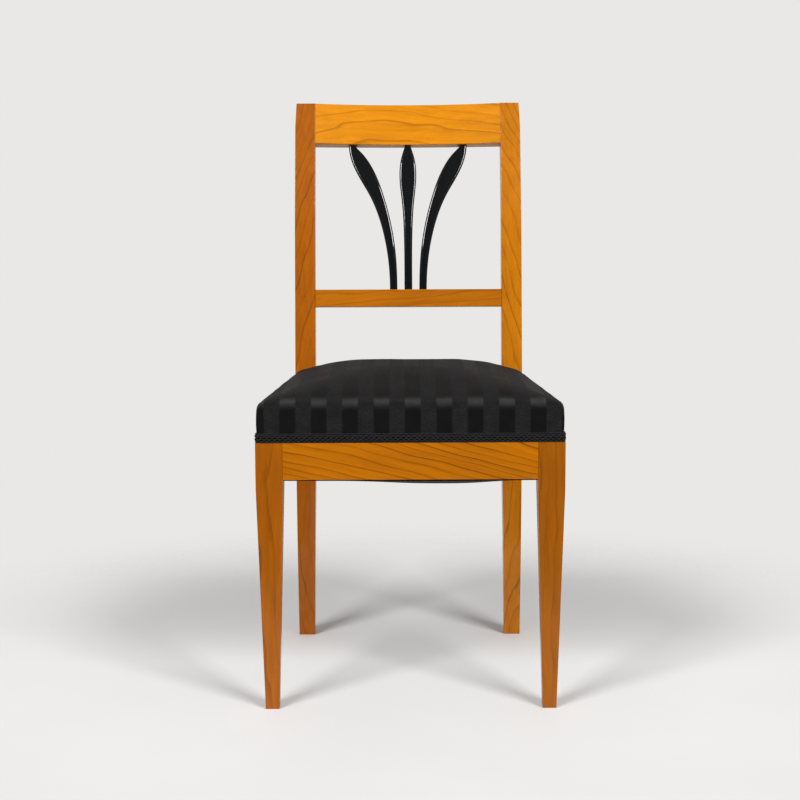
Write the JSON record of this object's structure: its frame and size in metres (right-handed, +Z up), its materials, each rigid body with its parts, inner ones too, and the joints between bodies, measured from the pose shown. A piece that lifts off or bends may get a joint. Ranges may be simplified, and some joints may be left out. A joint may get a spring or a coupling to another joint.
{
  "type": "biedermeier chair",
  "caption": "Armless side chair with a raked open back, leaf-shaped black splats, tapered legs and a domed, sprung, stuffed-over seat.",
  "frame": {"origin": "on the floor, under the middle of the chair's bounding box", "axes": "+Z up, +X to the right as seen from the front, the sitter faces -Y"},
  "size_m": [0.4558, 0.5228, 0.9035],
  "materials": {
    "polished_cherry": "high-gloss French polish over cherry with dark growth-ring lines",
    "ebonised_wood": "wood stained black and polished",
    "beech": "bare, planed",
    "jute_webbing": "woven jute strip",
    "spring_wire": "copper-washed steel wire",
    "iron": "blued iron",
    "hessian": "coarse plain weave",
    "horsehair": "curled hair",
    "striped_cloth": "black on black stripes, satin and matt",
    "braid": "black looped braid",
    "black_cotton": "plain weave"
  },
  "bodies": {
    "root": {"bottom_cloth": "black_cotton", "corner_block_front_left": "beech", "corner_block_front_right": "beech", "corner_block_rear_left": "beech", "corner_block_rear_right": "beech", "corner_block_screws": "iron", "crest_rail": "polished_cherry", "cross_rail": "polished_cherry", "front_leg_left": "polished_cherry", "front_leg_right": "polished_cherry", "front_rail": "polished_cherry", "gimp_front": "braid", "gimp_rear": "braid", "rear_leg_left": "polished_cherry", "rear_leg_right": "polished_cherry", "rear_rail": "polished_cherry", "seat_cover": "striped_cloth", "side_rail_left": "polished_cherry", "side_rail_right": "polished_cherry", "splat_centre": "ebonised_wood", "splat_left": "ebonised_wood", "splat_right": "ebonised_wood", "spring_canvas": "hessian", "spring_centre": "spring_wire", "spring_front_left": "spring_wire", "spring_front_right": "spring_wire", "spring_rear_left": "spring_wire", "spring_rear_right": "spring_wire", "stuffing": "horsehair", "webbing_cross_front": "jute_webbing", "webbing_cross_middle": "jute_webbing", "webbing_cross_rear": "jute_webbing", "webbing_long_centre": "jute_webbing", "webbing_long_left": "jute_webbing", "webbing_long_right": "jute_webbing", "webbing_tacks": "iron"}
  },
  "joints": []
}
